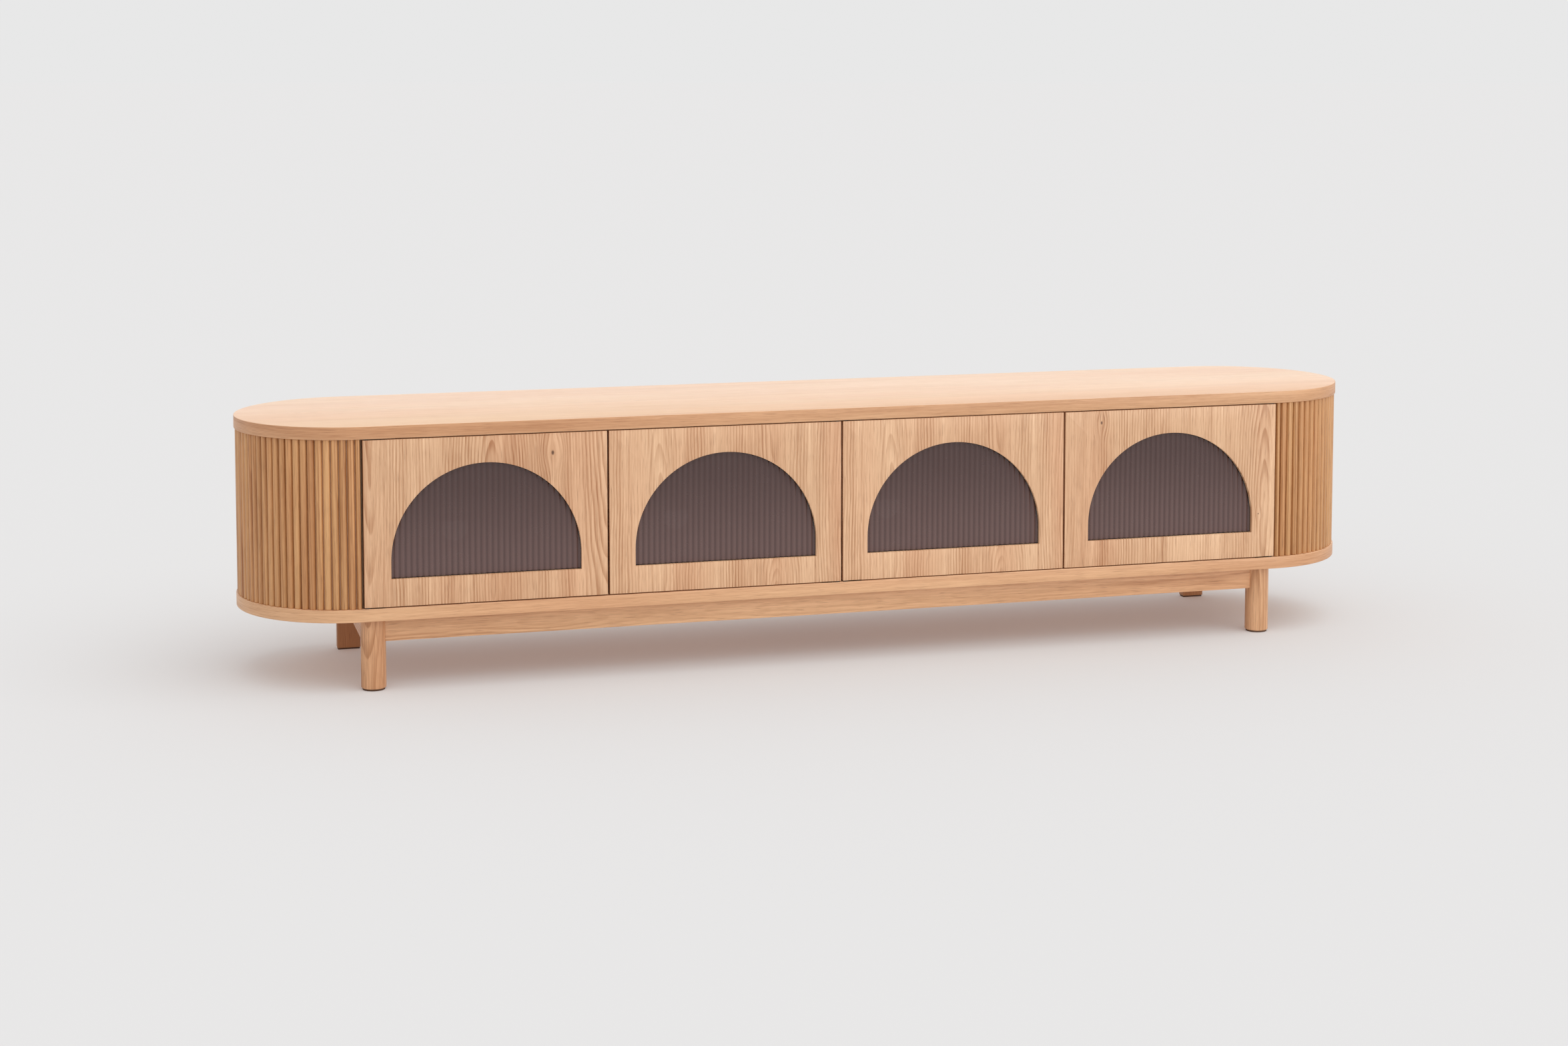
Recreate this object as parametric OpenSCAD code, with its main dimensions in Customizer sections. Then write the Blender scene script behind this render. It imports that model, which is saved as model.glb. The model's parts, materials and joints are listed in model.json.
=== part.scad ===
// Low media cabinet with rounded, slatted ends and four doors with arched glass windows.
// Millimetres. X runs along the cabinet, Y from front (-) to back (+), Z up from the floor.
// The origin is on the floor, under the centre of the cabinet.

/* [Overall] */
// Length over the two rounded ends
cab_w = 2100; // [2000:10:2300]
// Depth, which is also the diameter of the rounded ends
cab_d = 400; // [390:5:430]
// Height of the top face above the floor
cab_h = 460; // [450:1:500]
// Thickness of the top and bottom slabs
slab_t = 22; // [20:0.5:26]
// Height of the bottom slab's underside above the floor
leg_h = 124; // [110:1:130]

/* [Doors] */
// Thickness of a door
door_t = 19; // [18:0.5:21]
// Gap between neighbouring doors
gap_side = 3.6; // [2.8:0.1:4]
// Gap above and below a door
gap_end = 2; // [2:0.1:3]
// How far the door faces stand behind the slab edges
door_set = 1; // [1:0.5:3]
// Width of the wood beside the arched window
win_margin = 46; // [44:1:70]
// Height of the wood above the arched window
win_head = 46; // [40:1:60]
// Height of the window's straight sides below the arch
win_straight = 30; // [15:1:45]
// Depth from the door face to the glass
glass_set = 7; // [5:0.5:8]
// Thickness of the glass
glass_t = 4; // [3:0.5:5]
// How far the glass reaches under the wood around the window
glass_lip = 7; // [5:0.5:9]

/* [Rounded ends] */
// How far the slats stand behind the slab edges
slat_set = 2; // [1:0.5:4]
// Thickness of a slat
slat_t = 7; // [5:0.5:8]
// Width of a slat
slat_w = 12.2; // [11:0.1:12.6]
// Width of the narrower slat that closes each edge of the row
edge_slat_w = 8.6; // [7:0.1:10]
// Radius of a slat's rounded face
slat_crown_r = 8; // [7:0.5:14]
// Number of full slats round one end
slat_count = 43; // [40:1:43]
// Thickness of the bent plywood shell behind the slats
shell_t = 8; // [6:0.5:10]

/* [Carcass] */
// Thickness of the uprights and partitions
wall_t = 18; // [16:1:20]
// Thickness of the back panels
back_t = 8; // [6:0.5:9]
// How far the back panels stand inside the rear slab edge
back_set = 4; // [2:0.5:6]
// Thickness of a shelf
shelf_t = 16; // [15:1:18]
// Height of a shelf's top above the bottom slab
shelf_z = 154; // [130:1:170]
// Radius of the cable holes inside their grommets
cable_r = 25; // [20:1:28]

/* [Base] */
// Radius of the round front legs
leg_r = 21.5; // [19:0.5:23]
// Distance of the front leg centres from the centre of the cabinet
leg_x = 831; // [800:1:840]
// Distance of the front leg centres behind the front slab edge
leg_in = 34; // [30:1:40]
// Width of the rear legs
rear_leg_w = 42; // [38:1:46]
// Depth of the rear legs
rear_leg_d = 20; // [18:1:30]
// Height of the rails
rail_h = 40; // [34:1:50]
// Thickness of the rails
rail_t = 20; // [18:1:22]
// Thickness of the glides under the legs
glide_t = 3; // [2:0.5:4]

/* [Hidden] */
$fn = 96;
eps = 0.5;

// Levels
bay_z0 = leg_h + slab_t;
bay_z1 = cab_h - slab_t;
bay_h = bay_z1 - bay_z0;
rail_z = leg_h - rail_h;

// Plan
end_r = cab_d / 2;
half_span = cab_w / 2 - end_r;
door_pitch = half_span / 2;
back_y1 = end_r - back_set;
back_y0 = back_y1 - back_t;

// Doors
door_w = door_pitch - gap_side;
door_z0 = bay_z0 + gap_end;
door_z1 = bay_z1 - gap_end;
door_y0 = -end_r + door_set;
door_y1 = door_y0 + door_t;
win_r = door_w / 2 - win_margin;
win_spring_z = door_z1 - win_head - win_r;
door_to_wall = 4;
wall_y0 = door_y1 + door_to_wall;
DOORS = [0, 1, 2, 3];
function door_x(i) = (i - 1.5) * door_pitch;
// +1 for a door hinged on its left side, -1 for one hinged on its right side
function side(i) = (i % 2 == 0) ? 1 : -1;

// Hinges: a pin near the hinged corner of each door, above and below
pivot_in = 6;
pin_r = 2.5;
pin_len = 10;
bush_bore_r = 2.55;
bush_r = 4;
bush_len = 12;
bush_flange_r = 5.2;
bush_flange_t = 0.6;
thrust_r = 5;
thrust_clear = 0.1;
plate_w = 8;
plate_l = 34;
plate_t = 2;
hinge_screw_at = [12, 24];
hinge_screw_r = 1.5;
hinge_screw_l = 14;
pivot_y = door_y0 + pivot_in;
function pivot_x(i) = door_x(i) - side(i) * (door_w / 2 - pivot_in);

// Push latches: a housing under the top slab and a sliding plunger with a magnet tip
latch_in = 32;
latch_w = 16;
latch_h = 20;
latch_l = 52;
latch_set = 4;
latch_end_t = 2;
latch_y0 = wall_y0 + latch_set;
strike_size = 14;
strike_t = 1;
tip_r = 5.5;
tip_t = 4;
tip_clear = 0.4;
stem_r = 3.5;
stem_bore_r = 3.55;
stem_l = 48;
latch_z = bay_z1 - latch_h / 2;
tip_y = door_y1 + strike_t + tip_clear;
function latch_x(i) = door_x(i) + side(i) * (door_w / 2 - latch_in);

// Slatted ends
slat_r = end_r - slat_set;
shell_r = slat_r - slat_t;
slat_gap = 1.2;
slat_clear_deg = asin((gap_side / 2) / shell_r);
edge_slat_deg = 2 * asin((edge_slat_w / 2) / shell_r);
slat_gap_deg = 2 * asin((slat_gap / 2) / shell_r);
slat_edge_deg = slat_clear_deg + edge_slat_deg + slat_gap_deg / 2;
slat_step = (180 - 2 * slat_edge_deg) / slat_count;

// Shelves and their pins
shelf_front_in = 14;
shelf_back_in = 18;
shelf_y0 = wall_y0 + shelf_front_in;
shelf_y1 = back_y0 - shelf_back_in;
shelf_top = bay_z0 + shelf_z;
shelf_under = shelf_top - shelf_t;
shelf_gap = 1;
peg_r = 2.45;
peg_hole_r = 2.5;
peg_hole_depth = 8;
peg_len = 7.5;
peg_tongue = 8;
peg_collar_r = 4;
peg_collar_t = 0.8;
peg_step = 32;
peg_z = shelf_under - peg_r;
peg_in = 40;
PEG_Y = [shelf_y0 + peg_in, shelf_y1 - peg_in];

// Faces of the bays: inner X of the walls on both sides of each bay
function bay_x0(i) = (i == 0) ? -half_span + wall_t : (i - 2) * door_pitch + wall_t / 2;
function bay_x1(i) = (i == 3) ? half_span - wall_t : (i - 1) * door_pitch - wall_t / 2;

// Cable holes
grommet_wall = 5;
grommet_flange = 4;
grommet_flange_t = 1.5;
cable_up = 60;
cable_z = bay_z0 + cable_up;

// Base
leg_y = -end_r + leg_in;
foot_chamfer = 2;
rear_leg_in = 8;
rear_leg_x = half_span - rear_leg_in;
rear_leg_y = 140;
rail_y0 = leg_y - rail_t / 2;
block_leg = 55;
block_h = 30;
block_nose = 20;
screw_into_slab = 14;
base_screw_r = 2.25;
base_head_r = 4.5;
base_head_t = 2.5;
centre_screw_y = [-80, 70];
side_screw_y = -10;
BASE_SCREWS = [
    [0, centre_screw_y[0]], [0, centre_screw_y[1]],
    [-half_span + rail_t / 2, side_screw_y], [half_span - rail_t / 2, side_screw_y],
    [-door_pitch, leg_y], [door_pitch, leg_y],
    [-door_pitch, rear_leg_y + rail_t / 2], [door_pitch, rear_leg_y + rail_t / 2]
];

// Back screws
back_screw_r = 1.5;
back_screw_len = 25;
back_head_r = 3;
back_head_t = 1.2;
back_screw_end = 25;
BACK_SCREW_X = [
    -half_span + wall_t / 2, -door_pitch, -wall_t / 4,
    wall_t / 4, door_pitch, half_span - wall_t / 2
];
BACK_SCREW_Z = [bay_z0 + back_screw_end, bay_z0 + bay_h / 2, bay_z1 - back_screw_end];

oak = "burlywood";
oak_inside = "wheat";
steel = "silver";
dark_steel = "darkslategray";

// ---- Shared shapes ----

// A block between two corners
module block(a, b) {
    translate(a)
        cube(b - a);
}

// A slab with round ends, the full outline of the cabinet
module round_ended_slab(z) {
    block([-half_span, -end_r, z], [half_span, end_r, z + slab_t]);
    for (s = [-1, 1])
        translate([s * half_span, 0, z])
            cylinder(r = end_r, h = slab_t);
}

// The arched window shape, grown by m, from y0 to y1
module arch(i, m, y0, y1) {
    r = win_r + m;
    intersection() {
        translate([door_x(i), y0, win_spring_z])
            rotate([-90, 0, 0])
                cylinder(r = r, h = y1 - y0);
        block([door_x(i) - r - eps, y0 - eps, win_spring_z], [door_x(i) + r + eps, y1 + eps, door_z1]);
    }
    block([door_x(i) - r, y0, win_spring_z - win_straight - m], [door_x(i) + r, y1, win_spring_z]);
}

// A screw with its head at z = 0 and its shank going up
module screw(shank_r, len, head_r, head_t) {
    translate([0, 0, -head_t])
        cylinder(r = head_r, h = head_t, $fn = 48);
    cylinder(r = shank_r, h = len, $fn = 48);
}

// ---- Fastener positions, each used for the screw and for its hole ----

module at_hinges() {
    for (i = DOORS)
        translate([pivot_x(i), pivot_y, 0])
            mirror([side(i) < 0 ? 1 : 0, 0, 0])
                children();
}

module at_base_screws() {
    for (xy = BASE_SCREWS)
        translate([xy[0], xy[1], rail_z])
            screw(base_screw_r, rail_h + screw_into_slab, base_head_r, base_head_t);
}

module at_back_screws() {
    for (x = BACK_SCREW_X)
        for (z = BACK_SCREW_Z)
            translate([x, back_y1, z])
                rotate([90, 0, 0])
                    screw(back_screw_r, back_screw_len, back_head_r, back_head_t);
}

// One hinge plate's screws, pointing up from z = 0
module hinge_screw_pair() {
    for (x = hinge_screw_at)
        translate([x, 0, 0])
            cylinder(r = hinge_screw_r, h = hinge_screw_l, $fn = 48);
}

// The bed of a hinge plate with its screw holes, going up from z = 0
module hinge_pocket() {
    block([-plate_w / 2, -plate_w / 2, -eps], [plate_l - plate_w / 2, plate_w / 2, plate_t]);
    hinge_screw_pair();
}

// Rows of peg holes on one side of a wall: x is the wall's face, dir points into the wall
module peg_holes(x, dir) {
    for (y = PEG_Y)
        for (k = [-1, 0, 1])
            translate([x, y, peg_z + k * peg_step])
                rotate([0, dir * 90, 0])
                    translate([0, 0, -eps])
                        cylinder(r = peg_hole_r, h = peg_hole_depth + eps, $fn = 48);
}

// ---- Carcass ----

module top_panel() {
    color(oak)
        difference() {
            round_ended_slab(bay_z1);
            translate([0, 0, bay_z1])
                at_hinges()
                    hinge_pocket();
        }
}

module bottom_panel() {
    color(oak)
        difference() {
            round_ended_slab(leg_h);
            translate([0, 0, bay_z0])
                at_hinges()
                    mirror([0, 0, 1])
                        hinge_pocket();
            at_base_screws();
        }
}

module end_upright(s) {
    color(oak_inside)
        difference() {
            block([min(s * half_span, s * (half_span - wall_t)), wall_y0, bay_z0],
                  [max(s * half_span, s * (half_span - wall_t)), back_y0, bay_z1]);
            peg_holes(s * (half_span - wall_t), s);
            at_back_screws();
        }
}

module partition(x) {
    color(oak_inside)
        difference() {
            block([x - wall_t / 2, wall_y0, bay_z0], [x + wall_t / 2, back_y0, bay_z1]);
            peg_holes(x - wall_t / 2, 1);
            peg_holes(x + wall_t / 2, -1);
            at_back_screws();
        }
}

module back_panel(s) {
    color(oak_inside)
        difference() {
            block([s < 0 ? -half_span : 0, back_y0, bay_z0], [s < 0 ? 0 : half_span, back_y1, bay_z1]);
            at_back_screws();
            for (x = [s * door_pitch / 2, s * door_pitch * 1.5])
                translate([x, back_y0 - eps, cable_z])
                    rotate([-90, 0, 0])
                        cylinder(r = cable_r + grommet_wall, h = back_t + 2 * eps);
        }
}

module back_screws() {
    color(steel)
        at_back_screws();
}

module cable_grommets() {
    color("dimgray")
        for (i = DOORS)
            translate([door_x(i), back_y0, cable_z])
                rotate([-90, 0, 0])
                    difference() {
                        union() {
                            cylinder(r = cable_r + grommet_wall, h = back_t);
                            translate([0, 0, back_t])
                                cylinder(r = cable_r + grommet_wall + grommet_flange, h = grommet_flange_t);
                        }
                        translate([0, 0, -eps])
                            cylinder(r = cable_r, h = back_t + grommet_flange_t + 2 * eps);
                    }
}

// The bent plywood shell round one end, stopping just short of the straight part
module curved_shell(s) {
    color(oak_inside)
        intersection() {
            translate([s * half_span, 0, bay_z0])
                difference() {
                    cylinder(r = shell_r, h = bay_h);
                    translate([0, 0, -eps])
                        cylinder(r = shell_r - shell_t, h = bay_h + 2 * eps);
                }
            translate([s * (half_span + gap_side / 2 + end_r), 0, bay_z0 + bay_h / 2])
                cube([2 * end_r, 2 * end_r, bay_h + 2 * eps], center = true);
        }
}

// One slat of width w, at an angle a round the end from the front face
module slat(s, a, w) {
    translate([s * half_span, 0, bay_z0])
        rotate([0, 0, -90 + s * a])
            intersection() {
                translate([slat_r - slat_crown_r, 0, 0])
                    cylinder(r = slat_crown_r, h = bay_h, $fn = 48);
                translate([shell_r, -w / 2, 0])
                    cube([slat_t + eps, w, bay_h]);
            }
}

module slats(s) {
    edge_a = slat_clear_deg + edge_slat_deg / 2;
    color(oak) {
        for (k = [0 : slat_count - 1])
            slat(s, slat_edge_deg + (k + 0.5) * slat_step, slat_w);
        slat(s, edge_a, edge_slat_w);
        slat(s, 180 - edge_a, edge_slat_w);
    }
}

// ---- Shelves ----

module shelf(i) {
    color(oak_inside)
        block([bay_x0(i) + shelf_gap, shelf_y0, shelf_under], [bay_x1(i) - shelf_gap, shelf_y1, shelf_top]);
}

// A peg whose shank goes into the wall along -X and whose tongue points along +X
module shelf_pin() {
    rotate([0, 90, 0]) {
        translate([0, 0, -peg_len])
            cylinder(r = peg_r, h = peg_len + peg_tongue, $fn = 48);
        cylinder(r = peg_collar_r, h = peg_collar_t, $fn = 48);
    }
}

module shelf_pins() {
    color(steel)
        for (i = DOORS)
            for (y = PEG_Y) {
                translate([bay_x0(i), y, peg_z])
                    shelf_pin();
                translate([bay_x1(i), y, peg_z])
                    mirror([1, 0, 0])
                        shelf_pin();
            }
}

// ---- Base ----

module front_leg_body(s) {
    translate([s * leg_x, leg_y, glide_t]) {
        cylinder(r1 = leg_r - foot_chamfer, r2 = leg_r, h = foot_chamfer);
        translate([0, 0, foot_chamfer])
            cylinder(r = leg_r, h = leg_h - glide_t - foot_chamfer);
    }
}

module front_leg(s) {
    color(oak)
        front_leg_body(s);
}

module rear_leg(s) {
    color(oak)
        block([s * rear_leg_x - rear_leg_w / 2, rear_leg_y, glide_t],
              [s * rear_leg_x + rear_leg_w / 2, rear_leg_y + rear_leg_d, leg_h]);
}

module front_rail() {
    color(oak)
        difference() {
            block([-leg_x, rail_y0, rail_z], [leg_x, rail_y0 + rail_t, leg_h]);
            for (s = [-1, 1])
                front_leg_body(s);
            at_base_screws();
        }
}

module rear_rail() {
    inner_x = rear_leg_x - rear_leg_w / 2;
    color(oak)
        difference() {
            block([-inner_x, rear_leg_y, rail_z], [inner_x, rear_leg_y + rail_t, leg_h]);
            at_base_screws();
        }
}

module side_rail(s) {
    inner_x = half_span - rail_t;
    color(oak)
        difference() {
            block([s < 0 ? -half_span : inner_x, leg_y, rail_z],
                  [s < 0 ? -inner_x : half_span, rear_leg_y, leg_h]);
            front_leg_body(s);
            block([-leg_x, rail_y0 - eps, rail_z - eps], [leg_x, rail_y0 + rail_t, leg_h + eps]);
            at_base_screws();
        }
}

module centre_rail() {
    color(oak)
        difference() {
            block([-rail_t / 2, rail_y0 + rail_t, rail_z], [rail_t / 2, rear_leg_y, leg_h]);
            at_base_screws();
        }
}

// Glue blocks in the four inside corners of the base; their inner corner is cut off to clear the legs
module corner_blocks() {
    color(oak_inside)
        for (s = [-1, 1])
            for (q = [[rail_y0 + rail_t, 1], [rear_leg_y, -1]])
                translate([s * (half_span - rail_t), q[0], leg_h - block_h])
                    mirror([s > 0 ? 1 : 0, 0, 0])
                        mirror([0, q[1] < 0 ? 1 : 0, 0])
                            linear_extrude(block_h)
                                polygon([[block_nose, 0], [block_leg, 0], [0, block_leg], [0, block_nose]]);
}

module base_screws() {
    color(steel)
        at_base_screws();
}

module foot_glides() {
    color("saddlebrown")
        for (s = [-1, 1]) {
            translate([s * leg_x, leg_y, 0])
                cylinder(r = leg_r - foot_chamfer, h = glide_t);
            block([s * rear_leg_x - rear_leg_w / 2 + 1, rear_leg_y + 1, 0],
                  [s * rear_leg_x + rear_leg_w / 2 - 1, rear_leg_y + rear_leg_d - 1, glide_t]);
        }
}

// ---- Hinges ----

// A plate let into a slab, with a pin that stands down from it
module hinge_plate(collar_t) {
    difference() {
        block([-plate_w / 2, -plate_w / 2, 0], [plate_l - plate_w / 2, plate_w / 2, plate_t]);
        hinge_screw_pair();
    }
    translate([0, 0, -gap_end - pin_len])
        cylinder(r = pin_r, h = gap_end + pin_len + eps, $fn = 48);
    if (collar_t > 0)
        translate([0, 0, -collar_t])
            cylinder(r = thrust_r, h = collar_t, $fn = 48);
}

module hinge_plates() {
    color(dark_steel) {
        translate([0, 0, bay_z1])
            at_hinges()
                hinge_plate(0);
        translate([0, 0, bay_z0])
            at_hinges()
                mirror([0, 0, 1])
                    hinge_plate(gap_end - bush_flange_t - thrust_clear);
    }
}

module hinge_screws() {
    color(dark_steel) {
        translate([0, 0, bay_z1])
            at_hinges()
                hinge_screw_pair();
        translate([0, 0, bay_z0])
            at_hinges()
                mirror([0, 0, 1])
                    hinge_screw_pair();
    }
}

// The two flanged bushes in a door, top and bottom
module hinge_bushes(i) {
    color("dimgray")
        translate([pivot_x(i), pivot_y, 0])
            for (end = [[door_z1, 0], [door_z0, 1]])
                translate([0, 0, end[0]])
                    mirror([0, 0, end[1]])
                        difference() {
                            union() {
                                translate([0, 0, -bush_len])
                                    cylinder(r = bush_r, h = bush_len, $fn = 48);
                                cylinder(r = bush_flange_r, h = bush_flange_t, $fn = 48);
                            }
                            translate([0, 0, -bush_len - eps])
                                cylinder(r = bush_bore_r, h = bush_len + bush_flange_t + 2 * eps, $fn = 48);
                        }
}

// ---- Doors ----

module door_frame(i) {
    color(oak)
        difference() {
            block([door_x(i) - door_w / 2, door_y0, door_z0], [door_x(i) + door_w / 2, door_y1, door_z1]);
            arch(i, 0, door_y0 - eps, door_y1 + eps);
            arch(i, glass_lip, door_y0 + glass_set, door_y1 + eps);
            for (z = [door_z0 - eps, door_z1 - bush_len])
                translate([pivot_x(i), pivot_y, z])
                    cylinder(r = bush_r, h = bush_len + eps, $fn = 48);
        }
}

module door_glass(i) {
    color("dimgray", 0.6)
        arch(i, glass_lip, door_y0 + glass_set, door_y0 + glass_set + glass_t);
}

// The glazing bead that holds the glass in its rebate
module glass_bead(i) {
    color(oak)
        difference() {
            arch(i, glass_lip, door_y0 + glass_set + glass_t, door_y1);
            arch(i, 0, door_y0, door_y1 + eps);
        }
}

module strike_plate(i) {
    color(steel)
        translate([latch_x(i) - strike_size / 2, door_y1, latch_z - strike_size / 2])
            cube([strike_size, strike_t, strike_size]);
}

// ---- Push latches ----

module latch_housings() {
    color("white")
        for (i = DOORS)
            difference() {
                block([latch_x(i) - latch_w / 2, latch_y0, latch_z - latch_h / 2],
                      [latch_x(i) + latch_w / 2, latch_y0 + latch_l, latch_z + latch_h / 2]);
                translate([latch_x(i), latch_y0 - eps, latch_z])
                    rotate([-90, 0, 0])
                        cylinder(r = stem_bore_r, h = latch_l - latch_end_t + eps, $fn = 48);
            }
}

module latch_plunger(i) {
    color("gray")
        translate([latch_x(i), tip_y, latch_z])
            rotate([-90, 0, 0]) {
                cylinder(r = tip_r, h = tip_t, $fn = 48);
                cylinder(r = stem_r, h = tip_t + stem_l, $fn = 48);
            }
}

top_panel();
bottom_panel();
end_upright(-1);  // end_upright_left
end_upright(1);  // end_upright_right
partition(-door_pitch);  // partition_left
partition(0);  // partition_centre
partition(door_pitch);  // partition_right
back_panel(-1);  // back_panel_left
back_panel(1);  // back_panel_right
back_screws();
cable_grommets();
curved_shell(-1);  // curved_shell_left
curved_shell(1);  // curved_shell_right
slats(-1);  // slats_left
slats(1);  // slats_right
shelf(0);  // shelf_1
shelf(1);  // shelf_2
shelf(2);  // shelf_3
shelf(3);  // shelf_4
shelf_pins();
front_leg(-1);  // front_leg_left
front_leg(1);  // front_leg_right
rear_leg(-1);  // rear_leg_left
rear_leg(1);  // rear_leg_right
front_rail();
rear_rail();
side_rail(-1);  // side_rail_left
side_rail(1);  // side_rail_right
centre_rail();
corner_blocks();
base_screws();
foot_glides();
hinge_plates();
hinge_screws();
latch_housings();
latch_plunger(0);  // latch_plunger_1
latch_plunger(1);  // latch_plunger_2
latch_plunger(2);  // latch_plunger_3
latch_plunger(3);  // latch_plunger_4
door_frame(0);  // door_frame_1
door_frame(1);  // door_frame_2
door_frame(2);  // door_frame_3
door_frame(3);  // door_frame_4
door_glass(0);  // door_glass_1
door_glass(1);  // door_glass_2
door_glass(2);  // door_glass_3
door_glass(3);  // door_glass_4
glass_bead(0);  // glass_bead_1
glass_bead(1);  // glass_bead_2
glass_bead(2);  // glass_bead_3
glass_bead(3);  // glass_bead_4
hinge_bushes(0);  // hinge_bushes_1
hinge_bushes(1);  // hinge_bushes_2
hinge_bushes(2);  // hinge_bushes_3
hinge_bushes(3);  // hinge_bushes_4
strike_plate(0);  // strike_plate_1
strike_plate(1);  // strike_plate_2
strike_plate(2);  // strike_plate_3
strike_plate(3);  // strike_plate_4
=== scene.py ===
"""Media cabinet with slatted round ends and arched reeded-glass doors: looks, shapes, light, camera."""
import json
import math
import random

import bmesh
import bpy
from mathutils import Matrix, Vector


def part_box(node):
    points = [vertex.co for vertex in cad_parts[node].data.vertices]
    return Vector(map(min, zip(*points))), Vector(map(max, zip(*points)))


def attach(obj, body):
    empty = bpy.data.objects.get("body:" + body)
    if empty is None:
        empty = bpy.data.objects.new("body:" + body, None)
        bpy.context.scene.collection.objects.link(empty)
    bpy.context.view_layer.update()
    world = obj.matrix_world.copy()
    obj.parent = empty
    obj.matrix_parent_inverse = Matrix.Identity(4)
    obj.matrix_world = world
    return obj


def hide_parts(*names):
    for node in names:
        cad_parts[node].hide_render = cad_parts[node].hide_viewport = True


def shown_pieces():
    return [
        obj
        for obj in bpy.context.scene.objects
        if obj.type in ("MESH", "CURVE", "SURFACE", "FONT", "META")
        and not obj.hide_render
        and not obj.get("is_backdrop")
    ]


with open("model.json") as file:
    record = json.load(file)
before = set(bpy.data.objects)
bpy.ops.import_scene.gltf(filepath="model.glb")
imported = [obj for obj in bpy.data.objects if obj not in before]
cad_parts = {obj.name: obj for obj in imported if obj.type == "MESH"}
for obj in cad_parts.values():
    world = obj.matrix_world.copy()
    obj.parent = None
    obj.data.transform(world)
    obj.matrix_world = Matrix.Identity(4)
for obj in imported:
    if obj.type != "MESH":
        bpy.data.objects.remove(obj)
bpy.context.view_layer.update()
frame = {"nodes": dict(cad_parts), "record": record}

MM = 0.001
DOORS = (1, 2, 3, 4)      # numbered from the left
rng = random.Random(7)

# ---------------------------------------------------------------- camera

CAM_SENSOR = 36           # mm
CAM_LENS = 57.8           # mm
CAM_SHIFT = -0.163
CAM_PLACE = (-1.297, -4.455, 1.077)
CAM_YAW = 15.61           # degrees to the right of +Y
CAM_PITCH = 4.70          # degrees below the horizon


def make_camera():
    """The camera, fitted to the photo."""
    data = bpy.data.cameras.new("camera")
    data.lens = CAM_LENS
    data.sensor_width = CAM_SENSOR
    data.shift_y = CAM_SHIFT
    camera = bpy.data.objects.new("camera", data)
    camera.location = CAM_PLACE
    camera.rotation_euler = (math.radians(90 - CAM_PITCH), 0, math.radians(-CAM_YAW))
    bpy.context.scene.collection.objects.link(camera)
    bpy.context.scene.camera = camera


# ---------------------------------------------------------------- node helpers

class Nodes:
    """A short way to write a material's nodes."""

    def __init__(self, material):
        material.use_nodes = True
        self.tree = material.node_tree
        self.tree.nodes.clear()

    def add(self, kind, inputs=None, **settings):
        node = self.tree.nodes.new(kind)
        for key, value in settings.items():
            setattr(node, key, value)
        for key, value in (inputs or {}).items():
            self.set(node.inputs[key], value)
        return node

    def set(self, socket, value):
        if isinstance(value, bpy.types.NodeSocket):
            self.tree.links.new(value, socket)
        else:
            socket.default_value = value

    def math(self, operation, a, b=0.0, c=0.0, clamp=False):
        node = self.add("ShaderNodeMath", {0: a, 1: b, 2: c}, operation=operation, use_clamp=clamp)
        return node.outputs[0]

    def ramp(self, value, low, high, to_low=0.0, to_high=1.0, smooth=True):
        kind = "SMOOTHSTEP" if smooth else "LINEAR"
        node = self.add("ShaderNodeMapRange", {0: value, 1: low, 2: high, 3: to_low, 4: to_high},
                        interpolation_type=kind)
        return node.outputs[0]

    def mix(self, factor, a, b, blend="MIX"):
        node = self.add("ShaderNodeMix", data_type="RGBA", blend_type=blend)
        self.set(node.inputs[0], factor)
        self.set(node.inputs[6], a)
        self.set(node.inputs[7], b)
        return node.outputs[2]

    def noise(self, vector, scale=1.0, detail=2.0, roughness=0.5):
        node = self.add("ShaderNodeTexNoise",
                        {"Vector": vector, "Scale": scale, "Detail": detail, "Roughness": roughness})
        return node.outputs[0]

    def combine(self, x, y, z):
        return self.add("ShaderNodeCombineXYZ", {0: x, 1: y, 2: z}).outputs[0]

    def length(self, a, b):
        return self.math("SQRT", self.math("ADD", self.math("MULTIPLY", a, a), self.math("MULTIPLY", b, b)))

    def stretched(self, parts, factors):
        """The three parts of a vector, each times its own factor."""
        return self.combine(*[self.math("MULTIPLY", p, f) for p, f in zip(parts, factors)])

    def finish(self, shader):
        out = self.add("ShaderNodeOutputMaterial")
        self.tree.links.new(shader.outputs[0], out.inputs[0])


def rgba(r, g, b):
    return (r, g, b, 1.0)


# ---------------------------------------------------------------- materials

AXES = {"x": 0, "y": 1, "z": 2}
REED = 10 * MM            # pitch of the glass reeds
REED_DEPTH = 1.8 * MM
REED_STEPS = 10           # columns of vertices across a reed
RIM_SHADE = (0.6 * MM, 2.2 * MM)        # painted shade: distances from the rim where the dark band of painted shade starts and stops fading

LEAF = 105 * MM           # half the width of a veneer leaf
RINGS = 185               # growth rings per metre
BAND_RINGS = 430          # the same in the edge bands, which are cut from finer wood
WOOD_BUMP = 0.4 * MM      # depth of the wood's pores and fibres
FINE_BUMP = 0.2 * MM      # depth of the texture of metal, plastic, felt and glass


def knot_field(n, u, v, knots):
    """Bends the grain round each (along, across, size) knot.
    Returns the bent v and how much of the colour is knot."""
    core = 0.0
    for knot_u, knot_v, size in knots:
        du = n.math("MULTIPLY", n.math("SUBTRACT", u, knot_u), 0.6)
        dv = n.math("SUBTRACT", v, knot_v)
        far = n.length(du, dv)
        near = n.ramp(far, size, size * 9, 1, 0)
        v = n.math("SUBTRACT", v, n.math("MULTIPLY", near, n.math("MULTIPLY", dv, 0.7)))
        core = n.math("MAXIMUM", core, n.ramp(far, size * 0.3, size, 1, 0))
    return v, core


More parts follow.
